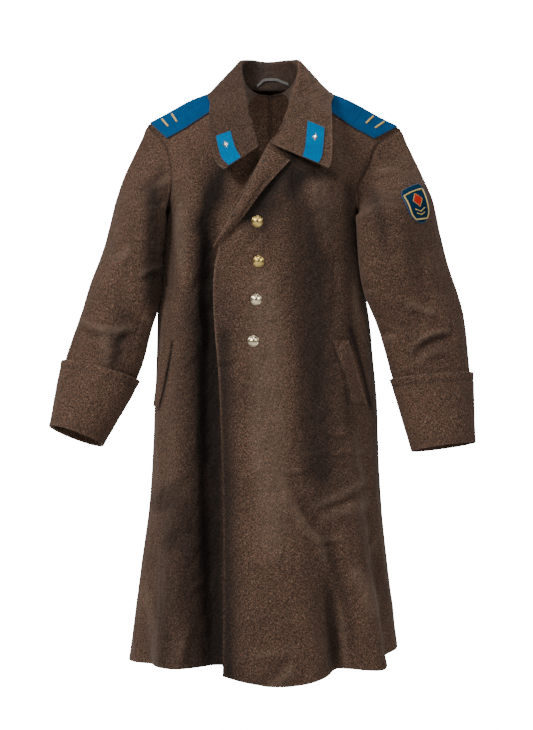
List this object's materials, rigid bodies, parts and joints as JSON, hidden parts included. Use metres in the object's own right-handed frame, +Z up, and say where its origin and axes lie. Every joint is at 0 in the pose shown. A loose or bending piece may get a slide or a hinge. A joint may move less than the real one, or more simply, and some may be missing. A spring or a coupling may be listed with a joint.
{
  "type": "greatcoat",
  "caption": "Long single-breasted military greatcoat in heavy wool, with a turned-down collar, set-in sleeves, deep cuffs and blue shoulder boards; open at neck, hem and cuffs.",
  "frame": {"origin": "base of the neck, between the wearer's shoulders, where the coat is held", "axes": "+Z up, the front of the coat faces -Y, +X towards the wearer's left"},
  "size_m": [0.8172, 0.4254, 1.1912],
  "materials": {
    "greatcoat_cloth": "felted wool, brown heather",
    "blue_facing_cloth": "felted wool, bright blue",
    "gilt_brass": "polished",
    "white_metal": "polished",
    "dark_steel": "blackened",
    "grey_tape": "woven tape"
  },
  "bodies": {
    "root": {"front_left_upper": "greatcoat_cloth", "front_right_upper": "greatcoat_cloth", "back_left_upper": "greatcoat_cloth", "back_right_upper": "greatcoat_cloth", "front_left_skirt": "greatcoat_cloth", "front_right_skirt": "greatcoat_cloth", "back_left_skirt": "greatcoat_cloth", "back_right_skirt": "greatcoat_cloth", "sleeve_left_top": "greatcoat_cloth", "sleeve_left_under": "greatcoat_cloth", "sleeve_right_top": "greatcoat_cloth", "sleeve_right_under": "greatcoat_cloth", "cuff_left": "greatcoat_cloth", "cuff_right": "greatcoat_cloth", "collar": "greatcoat_cloth", "left_facing": "greatcoat_cloth", "pocket_welt_left": "greatcoat_cloth", "pocket_welt_right": "greatcoat_cloth", "collar_tab_left": "blue_facing_cloth", "collar_tab_right": "blue_facing_cloth", "shoulder_board_left": "blue_facing_cloth", "shoulder_board_right": "blue_facing_cloth", "sleeve_patch": "blue_facing_cloth", "button_1": "gilt_brass", "button_2": "gilt_brass", "button_3": "gilt_brass", "button_4": "gilt_brass", "tab_device_left": "white_metal", "tab_device_right": "white_metal", "hook_upper": "dark_steel", "hook_lower": "dark_steel", "hanger_loop": "grey_tape"}
  },
  "joints": []
}
